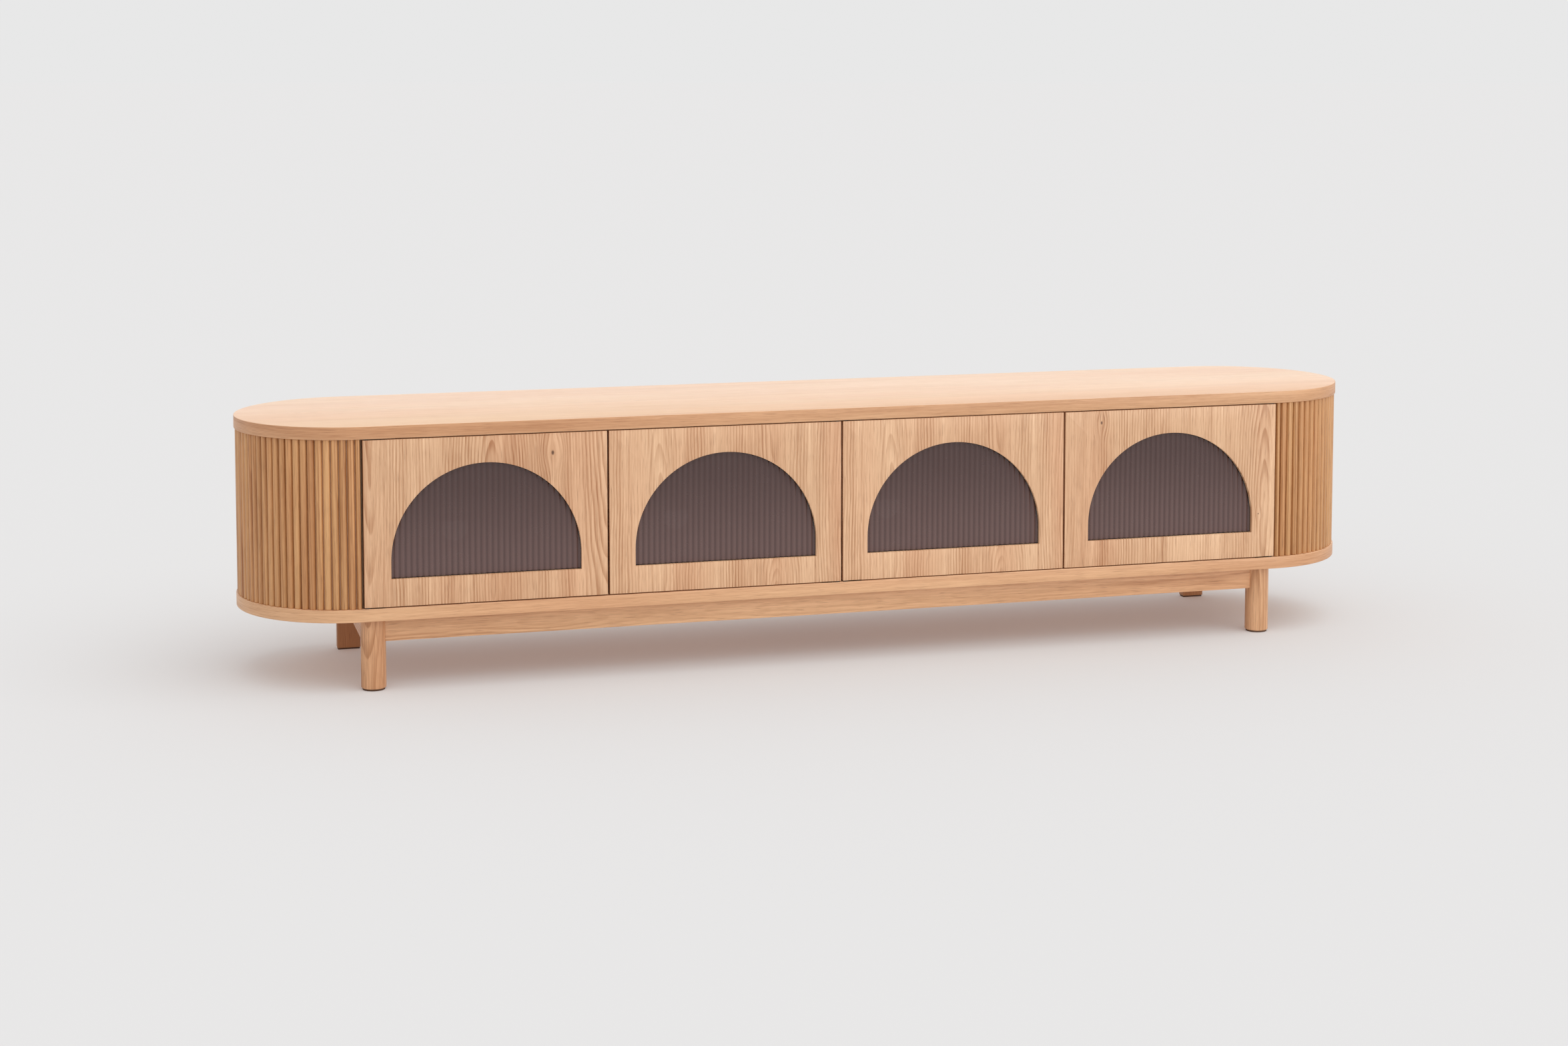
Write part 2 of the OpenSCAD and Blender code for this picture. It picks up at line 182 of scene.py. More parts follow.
def growth_rings(n, u, v, w, figure, rings):
    """Thin dark lines between growth rings: long arches in the middle of each veneer leaf and straight lines
    towards its edges, or only straight lines when figure is 0."""
    wobble = n.noise(n.stretched((u, v, w), (3.5, 11, 11)), detail=3, roughness=0.55)
    wobble = n.math("MULTIPLY", n.math("SUBTRACT", wobble, 0.5), 0.006 + 0.012 * figure)
    if figure:
        leaf_number = n.math("FLOOR", n.math("ADD", n.math("DIVIDE", v, 2 * LEAF), 0.5))
        slow = n.noise(n.combine(n.math("MULTIPLY", u, 1.4), n.math("MULTIPLY", leaf_number, 5.1), 0.0))
        depth = n.math("ADD", n.math("MULTIPLY", n.math("SUBTRACT", slow, 0.5), 0.20 * figure), 0.012)
        across = n.math("PINGPONG", v, LEAF)
        dist = n.length(across, depth)
    else:
        leaf_number = 0.0
        dist = n.math("ADD", n.math("ADD", v, n.math("MULTIPLY", w, 0.6)), n.math("MULTIPLY", u, 0.012))
    phase = n.math("FRACT", n.math("MULTIPLY", n.math("ADD", dist, wobble), rings))
    line = n.math("MULTIPLY", n.ramp(phase, 0.25, 0.90), n.ramp(phase, 0.91, 1.0, 1, 0))
    strength = n.ramp(n.noise(n.stretched((u, v, w), (0.9, 24, 24))), 0.36, 0.66, 0.12, 1.0)
    return n.math("MULTIPLY", line, strength), leaf_number


def oak(name, light, dark, order=None, roughness=0.42, contrast=1.0, figure=1.0, rings=RINGS,
        knots=()):
    """Lacquered oak. The grain runs along the first part of the "grain" attribute, or, for a CAD
    node, along the first of the object axes named in order; the second runs across the board. Metres."""
    material = bpy.data.materials.new(name)
    n = Nodes(material)
    if order is None:
        source = n.add("ShaderNodeAttribute", attribute_name="grain").outputs["Vector"]
        tone = n.add("ShaderNodeAttribute", attribute_name="tone").outputs["Fac"]
    else:
        source = n.add("ShaderNodeTexCoord").outputs["Object"]
        tone = 0.0
    split = n.add("ShaderNodeSeparateXYZ", {0: source})
    u, v, w = [split.outputs[AXES[axis]] for axis in order or "xyz"]
    v, core = knot_field(n, u, v, knots)
    late, leaf_number = growth_rings(n, u, v, w, figure, rings)

    # fibres, open pores, streaks and broad uneven colour, from fine to coarse
    fibre = n.noise(n.stretched((u, v, w), (8, 360, 360)), detail=4, roughness=0.8)
    pores = n.noise(n.stretched((u, v, w), (26, 1250, 1250)), detail=1)
    pore = n.ramp(pores, 0.60, 0.72)
    streak = n.noise(n.stretched((u, v, w), (1.6, 55, 55)), detail=3, roughness=0.55)
    cloud = n.noise(n.stretched((u, v, w), (0.9, 7, 7)), detail=2)
    leaf_tone = n.add("ShaderNodeTexWhiteNoise", {"W": leaf_number}, noise_dimensions="1D").outputs["Value"]

    amount = n.math("MULTIPLY", late, 0.50 * contrast)
    for part, weight in ((fibre, 1.35), (streak, 0.75), (cloud, 0.60), (leaf_tone, 0.14 * figure)):
        amount = n.math("ADD", amount, n.math("MULTIPLY", n.math("SUBTRACT", part, 0.5), weight * contrast))
    # the tone darkens or lightens a face: random differences in the wood, and on some faces painted shade and
    # light
    amount = n.math("ADD", amount, n.math("SUBTRACT", 0.34, tone), clamp=True)
    colour = n.mix(amount, rgba(*light), rgba(*dark))
    colour = n.mix(n.ramp(cloud, 0.40, 0.65, 0, 0.55), colour, rgba(1.0, 0.90, 0.87), blend="MULTIPLY")
    colour = n.mix(n.math("MULTIPLY", pore, 0.50 * contrast), colour,
                   rgba(dark[0] * 0.45, dark[1] * 0.36, dark[2] * 0.30))
    if knots:
        colour = n.mix(n.math("MULTIPLY", core, 0.9), colour, rgba(0.085, 0.030, 0.012))

    height = n.math("SUBTRACT", n.math("MULTIPLY", fibre, 0.5), n.math("MULTIPLY", pore, 0.6))
    bump = n.add("ShaderNodeBump", {"Strength": 0.20, "Distance": WOOD_BUMP, "Height": height})
    gloss = n.ramp(fibre, 0.3, 0.7, roughness - 0.05, roughness + 0.08)
    shader = n.add("ShaderNodeBsdfPrincipled",
                   {"Base Color": colour, "Roughness": gloss, "IOR": 1.5, "Normal": bump.outputs[0]})
    n.finish(shader)
    return material


def speckled(name, colour, roughness, metallic=0.0, scale=900.0, bump=0.15, stretch=(1, 1, 1), mottle=0.2):
    """Metal, plastic or felt: an even colour with fine mottling in its colour, gloss and surface."""
    material = bpy.data.materials.new(name)
    n = Nodes(material)
    place = n.add("ShaderNodeTexCoord").outputs["Object"]
    split = n.add("ShaderNodeSeparateXYZ", {0: place})
    fine = n.noise(n.stretched(split.outputs, [scale * s for s in stretch]), detail=3)
    broad = n.noise(place, scale=40, detail=2)
    shade = n.ramp(n.math("ADD", n.math("MULTIPLY", fine, 0.6), n.math("MULTIPLY", broad, 0.4)), 0.3, 0.7,
                   1 - mottle, 1 + mottle * 0.3, smooth=False)
    tinted = n.mix(1.0, rgba(*colour), n.combine(shade, shade, shade), blend="MULTIPLY")
    normal = n.add("ShaderNodeBump", {"Strength": bump, "Distance": FINE_BUMP, "Height": fine})
    gloss = n.ramp(fine, 0.3, 0.7, roughness - 0.06, roughness + 0.08)
    shader = n.add("ShaderNodeBsdfPrincipled",
                   {"Base Color": tinted, "Metallic": metallic, "Roughness": gloss,
                    "Normal": normal.outputs[0]})
    n.finish(shader)
    return material


def smoked_glass():
    """Smoked glass. The "grain" attribute holds the place across the reeds, the height over the window's
    bottom and the distance from its rim, where a dark band of painted shade shows. Its colour also holds
    painted shade and reflection: the reeds are darker in their hollows, and the pane is lighter towards
    the bottom and darker towards the top."""
    material = bpy.data.materials.new("smoked_reeded_glass")
    n = Nodes(material)
    place = n.add("ShaderNodeAttribute", attribute_name="grain").outputs["Vector"]
    across, height, rim = n.add("ShaderNodeSeparateXYZ", {0: place}).outputs
    crown = n.math("SINE", n.math("MULTIPLY", n.math("FRACT", n.math("DIVIDE", across, REED)), math.pi))
    haze = n.noise(n.stretched((across, height, rim), (22, 22, 0)), detail=3)
    fine = n.noise(n.stretched((across, height, rim), (420, 420, 0)), detail=2)
    # mottled haze, and painted reflection and shade: the pane gets lighter towards the bottom and darker
    # towards the top
    light = n.math("ADD", n.math("MULTIPLY", haze, 0.12), n.ramp(height, 0.0, 0.19, 0.90, -0.10))
    face = n.mix(light, rgba(0.078, 0.040, 0.036), rgba(0.145, 0.084, 0.076))
    # painted shade: the reeds are darker in their hollows
    tint = n.mix(n.ramp(crown, 0.15, 0.9, 0.45, 1.0), rgba(0.070, 0.036, 0.033), face)
    # painted shade: a dark band along the rim of the window
    tint = n.mix(n.ramp(rim, *RIM_SHADE, 1, 0), tint, rgba(0.016, 0.010, 0.009))
    gloss = n.ramp(haze, 0.3, 0.7, 0.23, 0.28)
    ripple = n.add("ShaderNodeBump", {"Strength": 0.05, "Distance": FINE_BUMP, "Height": fine})
    shader = n.add("ShaderNodeBsdfPrincipled",
                   {"Base Color": tint, "Roughness": gloss, "IOR": 1.5, "Alpha": 0.92,
                    "Normal": ripple.outputs[0]})
    n.finish(shader)
    return material


OAK_LIGHT = (0.87, 0.565, 0.345)
OAK_DARK = (0.42, 0.190, 0.082)
SOLID_LIGHT = (0.81, 0.480, 0.265)
SOLID_DARK = (0.42, 0.190, 0.078)

M = {
    "veneer": oak("oak_veneer", OAK_LIGHT, OAK_DARK),
    "veneer_knot_1": oak("oak_veneer_knot_left_door", OAK_LIGHT, OAK_DARK, knots=[(2.402, 0.735, 0.0035)]),
    "veneer_knot_4": oak("oak_veneer_knot_right_door", OAK_LIGHT, OAK_DARK,
                         knots=[(9.514, 2.190, 0.0026), (9.330, 2.508, 0.0013)]),
    "top": oak("oak_top_veneer", (0.86, 0.58, 0.37), (0.58, 0.33, 0.17), roughness=0.38, contrast=0.5),
    "band": oak("oak_edge_band", (0.82, 0.495, 0.275), (0.40, 0.175, 0.070), contrast=0.85, figure=0,
                rings=BAND_RINGS),
    "solid": oak("solid_oak", SOLID_LIGHT, SOLID_DARK, figure=0.7),
    "slat": oak("oak_slats", (0.70, 0.385, 0.165), (0.36, 0.145, 0.045), figure=0),
    "wall": oak("oak_inside_wall", OAK_LIGHT, OAK_DARK, order="zyx", roughness=0.5, contrast=0.7),
    "back": oak("oak_inside_back", OAK_LIGHT, OAK_DARK, order="zxy", roughness=0.5, contrast=0.7),
    "cross": oak("oak_cross_rail", SOLID_LIGHT, SOLID_DARK, order="yzx", figure=0.7),
    "glass": smoked_glass(),
    "steel": speckled("zinc_plated_steel", (0.62, 0.62, 0.63), 0.34, metallic=1.0, stretch=(1, 1, 8)),
    "black_steel": speckled("black_zinc_steel", (0.035, 0.032, 0.03), 0.42, metallic=0.6, stretch=(1, 1, 6)),
    "acetal": speckled("black_acetal", (0.02, 0.02, 0.02), 0.45, scale=1200),
    "grommet": speckled("dark_grommet_plastic", (0.055, 0.045, 0.04), 0.5, scale=1400, bump=0.3),
    "latch": speckled("grey_latch_plastic", (0.52, 0.51, 0.49), 0.45, scale=1600, bump=0.2),
    "plunger": speckled("dark_latch_plastic", (0.07, 0.07, 0.072), 0.4, scale=1600, bump=0.2),
    "glide": speckled("brown_glide", (0.11, 0.055, 0.03), 0.85, scale=1800, bump=0.8, mottle=0.35),
}


# ---------------------------------------------------------------- outlines
# An outline gives a closed list of 2D points in metres; its argument m moves it outwards.

LEAST_CORNER = 0.05 * MM

def arc(cx, cy, r, start, end, steps):
    return [(cx + r * math.cos(a), cy + r * math.sin(a))
            for a in (start + (end - start) * k / steps for k in range(steps + 1))]


def rectangle(x0, y0, x1, y1, corner, steps=3):
    """A rectangle with slightly rounded corners."""
    def at(m):
        r = max(corner + m, LEAST_CORNER)
        quarter = math.pi / 2
        centres = [(x1 - corner, y1 - corner), (x0 + corner, y1 - corner),
                   (x0 + corner, y0 + corner), (x1 - corner, y0 + corner)]
        points = []
        for k, (cx, cy) in enumerate(centres):
            points += arc(cx, cy, r, k * quarter, (k + 1) * quarter, steps)
        return points
    return at


def circle(cx, cy, r, steps=64):
    return lambda m: arc(cx, cy, r + m, 0, 2 * math.pi, steps)[:-1]


def stadium(half, r, steps=72):
    """Two half circles joined by straight sides."""
    def at(m):
        right = arc(half, 0, r + m, -math.pi / 2, math.pi / 2, steps)
        left = arc(-half, 0, r + m, math.pi / 2, 3 * math.pi / 2, steps)
        return right + left
    return at


def arch(cx, spring, r, straight, steps=72):
    """A half circle standing on a short straight part."""
    def at(m):
        top = arc(cx, spring, r + m, 0, math.pi, steps)
        return top + [(cx - r - m, spring - straight - m), (cx + r + m, spring - straight - m)]
    return at


# ---------------------------------------------------------------- solids

TO_3D = {
    "x": lambda p, d: (d, p[0], p[1]),
    "y": lambda p, d: (p[0], d, p[1]),
    "z": lambda p, d: (p[0], p[1], d),
}


def add_loops(bm, loops, axis, cap_first=True, cap_last=True):
    """Joins a list of (outline points, depth) loops into a skin."""
    rings = [[bm.verts.new(TO_3D[axis](p, d)) for p in points] for points, d in loops]
    for a, b in zip(rings, rings[1:]):
        for k in range(len(a)):
            j = (k + 1) % len(a)
            bm.faces.new((a[k], a[j], b[j], b[k]))
    if cap_first:
        bm.faces.new(rings[0])
    if cap_last:
        bm.faces.new(list(reversed(rings[-1])))
    return rings


def eased(outline, d0, d1, ease, steps=3):
    """Loops for a plate from d0 to d1 whose edges are rounded by ease."""
    quarter = [math.pi / 2 * k / steps for k in range(steps + 1)]
    first = [(outline(-ease * (1 - math.sin(a))), d0 + ease * (1 - math.cos(a))) for a in quarter]
    last = [(outline(-ease * (1 - math.cos(a))), d1 - ease * (1 - math.sin(a))) for a in quarter]
    return first + last


def ring_cap(bm, *rings):
    """Fills the flat region between an outer ring of vertices and the rings of its holes."""
    edges = []
    for ring in rings:
        for k in range(len(ring)):
            a, b = ring[k], ring[(k + 1) % len(ring)]
            edges.append(bm.edges.get((a, b)) or bm.edges.new((a, b)))
    bmesh.ops.triangle_fill(bm, use_beauty=True, edges=edges)


FLAT = 0.7                # a face whose normal leans less than this from an axis faces along it


def make_piece(name, bm, materials, body, nodes, grain=None, tone=0.0, pick=None, sharp=32):
    """Turns a bmesh into a finished piece. grain(point, normal) gives the wood coordinates in metres,
    pick(point, normal) gives a face's material index."""
    bmesh.ops.recalc_face_normals(bm, faces=bm.faces)
    mesh = bpy.data.meshes.new(name)
    bm.to_mesh(mesh)
    bm.free()
    for material in materials:
        mesh.materials.append(material)
    mesh.shade_smooth()
    mesh.set_sharp_from_angle(angle=math.radians(sharp))
    if pick:
        for face in mesh.polygons:
            face.material_index = pick(face.center, face.normal)
    if grain:
        write_grain(mesh, grain, tone)
    obj = bpy.data.objects.new(name, mesh)
    bpy.context.scene.collection.objects.link(obj)
    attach(obj, body)
    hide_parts(*nodes)
    return obj


def write_grain(mesh, grain, tone):
    """Stores the wood coordinates and each face's tone where the oak materials read them. A tone holds random
    differences in the wood and, on some faces, painted shade and light.
    """
    places, tones = [], []
    for face in mesh.polygons:
        face_tone = tone(face.center) if callable(tone) else tone
        for k in face.loop_indices:
            places += grain(mesh.vertices[mesh.loops[k].vertex_index].co, face)
            tones.append(face_tone)
    mesh.attributes.new("grain", "FLOAT_VECTOR", "CORNER").data.foreach_set("vector", places)
    mesh.attributes.new("tone", "FLOAT", "CORNER").data.foreach_set("value", tones)


def along(order, offset=(0.0, 0.0, 0.0)):
    """Wood coordinates with the grain along the first axis of order, such as "xzy", and the board's
    width along the second."""
    i, j, k = [AXES[axis] for axis in order]
    return lambda p, face: (p[i] + offset[0], p[j] + offset[1], p[k] + offset[2])


def middle(node):
    """The middle of a CAD node's box."""
    low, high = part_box(node)
    return (Vector(low) + Vector(high)) / 2


# ---------------------------------------------------------------- slabs

SLAB_EASE = 0.8 * MM
ROUND_END_SHADE = 0.16     # painted shade: how much darker the edge band gets towards the tips of the round ends, where less light falls
SLAB_SHIFT = 0.37         # how far a slab's seed moves its grain sideways
BAND_DEPTH = 0.3          # the third wood coordinate of the edge band
SEAM = 10 * MM            # a face farther than this from the middle lies on one side of the seam


def make_slab(node, face_material, seed, tone=0.0):
    """A round-ended slab with a veneered face and an edge band whose grain runs round it."""
    low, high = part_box(node)
    r = (high[1] - low[1]) / 2
    half = (high[0] - low[0]) / 2 - r
    quarter = math.pi * r / 2

    def perimeter(p):
        """Distance round the edge from the middle of the front."""
        if abs(p[0]) <= half:
            run = p[0]
            return run if p[1] < 0 else math.copysign(2 * half + 2 * quarter, run) - run
        side = math.copysign(1, p[0])
        angle = math.atan2(p[1], abs(p[0]) - half) + math.pi / 2
        return side * (half + angle * r)

    def grain(p, face):
        if abs(face.normal[2]) > FLAT:
            return (p[0] + seed, p[1] + seed * SLAB_SHIFT, p[2])
        run = perimeter(p)
        if run * face.center[0] < 0 and abs(face.center[0]) > SEAM:
            run = -run
        return (run + seed * 2, p[2] + seed, BAND_DEPTH)

    bm = bmesh.new()
    add_loops(bm, eased(stadium(half, r), low[2], high[2], ease=SLAB_EASE), "z")
    make_piece(node, bm, [face_material, M["band"]], "cabinet", [node], grain=grain,
               # painted shade: the edge band darkens towards the tips of the round ends
               tone=lambda c: tone - ROUND_END_SHADE * max(abs(c[0]) - half, 0) / r,
               pick=lambda c, normal: 0 if abs(normal[2]) > FLAT else 1)


# ---------------------------------------------------------------- slatted ends

SLAT_COUNT = 43
SLAT_WIDTH = 12.2 * MM
EDGE_SLAT_WIDTH = 8.6 * MM
SLAT_GAP = 1.2 * MM
SLAT_CLEAR = 1.8 * MM     # half of the gap between a door and the slats beside it
SLAT_THICK = 7 * MM
SLAT_TONE_SPREAD = 0.10
SLAT_SIDE_ROUND = 0.70    # exponents of a slat's section; with 1 and 1 it is a half ellipse
SLAT_CROWN = 1.05
SLAT_ENDS = [(0.0, 0.9 * MM), (0.4 * MM, 0.3 * MM), (1.2 * MM, 0.0)]    # (height, inset) of an eased end


def slat_section(width, inset, steps=16):
    """A flat back and a full, rounded face, as (across, out) points."""
    half = width / 2 - inset
    points = []
    for k in range(steps + 1):
        a = math.pi * k / steps
        x = half * math.copysign(abs(math.cos(a)) ** SLAT_SIDE_ROUND, math.cos(a))
        points.append((x, (SLAT_THICK - inset) * math.sin(a) ** SLAT_CROWN))
    return points


def make_slats(node, side):
    """The slats of one round end, evenly spaced, with a narrower one at each edge."""
    low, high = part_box(node)
    upright = abs(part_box("end_upright_right")[1][0])
    centre_x = side * upright
    shell = max(abs(low[0]), abs(high[0])) - upright - SLAT_THICK
    clear = math.asin(SLAT_CLEAR / shell)
    edge = 2 * math.asin(EDGE_SLAT_WIDTH / 2 / shell)
    gap = 2 * math.asin(SLAT_GAP / 2 / shell)
    first = clear + edge + gap / 2
    step = (math.pi - 2 * first) / SLAT_COUNT
    rows = [(first + (k + 0.5) * step, SLAT_WIDTH) for k in range(SLAT_COUNT)]
    rows = [(clear + edge / 2, EDGE_SLAT_WIDTH)] + rows + [(math.pi - clear - edge / 2, EDGE_SLAT_WIDTH)]
    levels = [(low[2] + d, inset) for d, inset in SLAT_ENDS]
    levels += [(high[2] - d, inset) for d, inset in reversed(SLAT_ENDS)]
    turns = [-math.pi / 2 + side * angle for angle, width in rows]
    bm = bmesh.new()
    tones, shifts = [], []
    for turn, (angle, width) in zip(turns, rows):
        out = Vector((math.cos(turn), math.sin(turn)))
        sideways = Vector((-out[1], out[0]))
        loops = []
        for z, inset in levels:
            loops.append(([(centre_x + out[0] * (shell + o) + sideways[0] * x,
                            out[1] * (shell + o) + sideways[1] * x)
                           for x, o in slat_section(width, inset)], z))
        add_loops(bm, loops, "z")
        tones.append(rng.uniform(-SLAT_TONE_SPREAD, SLAT_TONE_SPREAD))
        shifts.append((rng.uniform(0, 30), rng.uniform(0, 9), rng.uniform(0, 3)))
    per_slat = len(bm.faces) // len(rows)

    def grain(p, face):
        k = face.index // per_slat
        c, s = math.cos(turns[k]), math.sin(turns[k])
        out = (p[0] - centre_x) * c + p[1] * s
        across = -(p[0] - centre_x) * s + p[1] * c
        return (p[2] + shifts[k][0], across + shifts[k][1], out + shifts[k][2])

    make_piece(node, bm, [M["slat"]], "cabinet", [node], grain=grain, sharp=50,
               tone=lambda c: slat_tone(c, centre_x, side, rows, tones))


WRAP_MARGIN = 0.2         # radians; an angle below minus this has wrapped round


def slat_tone(c, centre_x, side, rows, tones):
    """The tone of the slat nearest to the point c."""
    angle = side * (math.atan2(c[1], c[0] - centre_x) + math.pi / 2)
    if angle < -WRAP_MARGIN:
        angle += 2 * math.pi
    nearest = min(range(len(rows)), key=lambda k: abs(rows[k][0] - angle))
    return tones[nearest]


# ---------------------------------------------------------------- doors

DOOR_EASE = 0.5 * MM
DOOR_CORNER = 0.6 * MM
GLASS_LIP = 7 * MM        # how far the pane and its bead reach behind the frame
GAP_SHADE_TONE = -0.35         # painted shade: the upright edges of the doors are darker than their faces, for the shade in the gaps between them
EDGE_DEPTH = 0.1 * MM
END_BAND = 2 * MM         # faces this close to a door's top or bottom belong to its edge band
DOOR_LOOKS = {
    # seed of the veneer, tone, material; the tones are partly random differences between the doors and partly
    # painted light, which makes door 1 darker and doors 2 and 3 lighter
    1: ((2.0, 0.62, 0.0), -0.05, "veneer_knot_1"),
    2: ((5.3, 1.17, 0.0), 0.03, "veneer"),
    3: ((5.3, 1.17, 0.0), 0.05, "veneer"),
    4: ((9.1, 2.33, 0.0), -0.07, "veneer_knot_4"),
}


def window_of(i):
    """Centre, spring height, radius and straight height of door i's window, from its pane."""
    low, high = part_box(f"door_glass_{i}")
    r = (high[0] - low[0]) / 2 - GLASS_LIP
    cx = (high[0] + low[0]) / 2
    spring = high[2] - GLASS_LIP - r
    return cx, spring, r, spring - (low[2] + GLASS_LIP)


def make_door_frame(i):
    """A flat door with an arched window, rebated behind for the pane."""
    low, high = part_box(f"door_frame_{i}")
    cx, spring, r, straight = window_of(i)
    glass_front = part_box(f"door_glass_{i}")[0][1]
    outer = rectangle(low[0], low[2], high[0], high[2], corner=DOOR_CORNER)
    inner = arch(cx, spring, r, straight)
    bm = bmesh.new()
    edge = add_loops(bm, eased(outer, low[1], high[1], ease=DOOR_EASE), "y", False, False)
    e = DOOR_EASE
    hole = [(inner(e), low[1]), (inner(e * 0.3), low[1] + e * 0.3), (inner(0), low[1] + e),
            (inner(0), glass_front), (inner(GLASS_LIP), glass_front), (inner(GLASS_LIP), high[1])]
    window = add_loops(bm, hole, "y", False, False)
    ring_cap(bm, edge[0], window[0])
    ring_cap(bm, edge[-1], window[-1])
    seed, tone, material = DOOR_LOOKS[i]
    middle_x, half = (low[0] + high[0]) / 2, (high[0] - low[0]) / 2

    def grain(p, face):
        z = face.center[2]
        if abs(face.normal[2]) > FLAT and (z < low[2] + END_BAND or z > high[2] - END_BAND):
            return (p[0] + seed[0], p[1] + seed[1], p[2])
        return (p[2] + seed[0], p[0] - cx + seed[1], p[1] - low[1] + seed[2])

    def door_tone_and_gap_shade(c):
        # painted shade: the upright edges are darker for the shade in the gaps between the doors
        return tone + (GAP_SHADE_TONE if abs(c[0] - middle_x) > half - EDGE_DEPTH else 0)

    make_piece(f"door_frame_{i}", bm, [M[material]], f"door_{i}", [f"door_frame_{i}"],
               grain=grain, tone=door_tone_and_gap_shade, sharp=40)


SILL_ROWS = (0.0, 1.5 * MM, 4 * MM)             # rows of vertices over the window's bottom
RIM_ROWS = (6 * MM, 3 * MM, 1.5 * MM, 0.0)      # and under its arch
PANE_ROWS = 6                                   # and between these


def make_glass(i):
    """An arched pane whose outer face is a row of convex reeds."""
    low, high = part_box(f"door_glass_{i}")
    cx, spring, r, _ = window_of(i)
    reach = r + GLASS_LIP
    count = round(2 * reach / REED * REED_STEPS)
    sill = low[2] + GLASS_LIP

    def rim_distance(p):
        if p[2] > spring:
            return r - math.hypot(p[0] - cx, p[2] - spring)
        return min(r - abs(p[0] - cx), p[2] - sill)

    def column(x):
        """Vertices up the front of the pane at x and back down its rear, closer together near the rim."""
        front = low[1] + REED_DEPTH * (1 - abs(math.sin(math.pi * x / REED)))
        top = spring + math.sqrt(max(reach * reach - x * x, 0.0))
        edge = spring + math.sqrt(max(r * r - x * x, 0.0)) if abs(x) < r else (spring + top) / 2
        first, last = sill + SILL_ROWS[-1], edge - RIM_ROWS[0]
        up = [low[2]] + [sill + d for d in SILL_ROWS]
        up += [first + (last - first) * k / PANE_ROWS for k in range(1, PANE_ROWS)]
        up += [edge - d for d in RIM_ROWS] + [top]
        return ([bm.verts.new((cx + x, front, z)) for z in up]
                + [bm.verts.new((cx + x, high[1], z)) for z in reversed(up)])

    bm = bmesh.new()
    columns = [column(-reach + 2 * reach * k / count) for k in range(count + 1)]
    for a, b in zip(columns, columns[1:]):
        for k in range(len(a)):
            j = (k + 1) % len(a)
            bm.faces.new((a[k], b[k], b[j], a[j]))
    bm.faces.new(columns[0])
    bm.faces.new(list(reversed(columns[-1])))
    make_piece(f"door_glass_{i}", bm, [M["glass"]], f"door_{i}", [f"door_glass_{i}"],
               grain=lambda p, face: (p[0] - cx, p[2] - sill, rim_distance(p)), sharp=50)


BEAD_EASE = 1.2 * MM


def make_bead(i):
    """The wooden frame that holds pane i from behind."""
    low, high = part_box(f"glass_bead_{i}")
    cx, spring, r, straight = window_of(i)
    inner = arch(cx, spring, r, straight)
    bm = bmesh.new()
    e = BEAD_EASE
    loops = [(inner(GLASS_LIP), low[1]), (inner(GLASS_LIP), high[1]), (inner(e), high[1]),
             (inner(e * 0.3), high[1] - e * 0.3), (inner(0), high[1] - e), (inner(0), low[1])]
    rings = add_loops(bm, loops, "y", False, False)
    for k in range(len(rings[0])):
        j = (k + 1) % len(rings[0])
        bm.faces.new((rings[-1][k], rings[-1][j], rings[0][j], rings[0][k]))
    make_piece(f"glass_bead_{i}", bm, [M["solid"]], f"door_{i}", [f"glass_bead_{i}"],
               grain=along("xzy", (i * 3.1, 0.4, 0.2)), sharp=40)


# ---------------------------------------------------------------- base

FOOT_EASE = 2.2 * MM
BOARD_EASE = 0.8 * MM
LEG_SHIFT = (12 * MM, 10 * MM)        # how far a leg's grain is moved off its axis
BOARD_SHIFT = 0.31                    # how far a board's seed moves its grain sideways


def make_front_leg(node, seed):
    """A round leg with an eased foot."""
    low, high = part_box(node)
    c, r = middle(node), (high[0] - low[0]) / 2
    round_leg = circle(c[0], c[1], r)
    loops = [(round_leg(-FOOT_EASE * (1 - math.sin(a))), low[2] + FOOT_EASE * (1 - math.cos(a)))
             for a in (math.pi / 2 * k / 4 for k in range(5))]
    loops.append((round_leg(0), high[2]))
    bm = bmesh.new()
    add_loops(bm, loops, "z")
    make_piece(node, bm, [M["solid"]], "cabinet", [node],
               grain=along("zxy", (seed, LEG_SHIFT[0] + seed - c[0], LEG_SHIFT[1] - c[1])), tone=-0.02)


def make_board(node, order, look, seed, tone=0.0):
    """A straight board with eased edges, from a CAD box; its grain runs along the first axis of order."""
    low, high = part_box(node)
    length = AXES[order[0]]
    i, j = [k for k in range(3) if k != length]
    outline = rectangle(low[i], low[j], high[i], high[j], corner=BOARD_EASE)
    bm = bmesh.new()
    add_loops(bm, eased(outline, low[length], high[length], ease=BOARD_EASE), order[0])
    sideways = seed * BOARD_SHIFT - middle(node)[AXES[order[1]]]
    make_piece(node, bm, [M[look]], "cabinet", [node], tone=tone,
               grain=along(order, (seed, sideways, 0.0)))


# ---------------------------------------------------------------- small parts

def lathe(bm, profile, to_place, steps=64):
    """Turns a closed profile of (radius, height) points; to_place(x, y, height) puts a point in the frame."""
    rings = []
    for k in range(steps):
        a = 2 * math.pi * k / steps
        rings.append([bm.verts.new(to_place(r * math.cos(a), r * math.sin(a), h)) for r, h in profile])
    for a, b in zip(rings, rings[1:] + rings[:1]):
        for k in range(len(profile)):
            j = (k + 1) % len(profile)
            bm.faces.new((a[k], b[k], b[j], a[j]))


def cable_holes():
    """(x, z, radius) of the clear bore of each cable hole, from the part's mounts."""
    return [(mount["pos_m"][0], mount["pos_m"][2], mount["dims"]["r_mm"] * MM)
            for mount in frame["record"]["mounts"] if mount["kind"] == "bore"]


GROMMET_FLANGE_T = 1.5 * MM
GROMMET_FLANGE_W = 4 * MM
GROMMET_LIP = 0.5 * MM
PANEL_HOLE_MARGIN = 5 * MM            # from the clear bore to the hole in the panel
PANEL_EASE = 0.4 * MM
PANEL_CORNER = 0.3 * MM


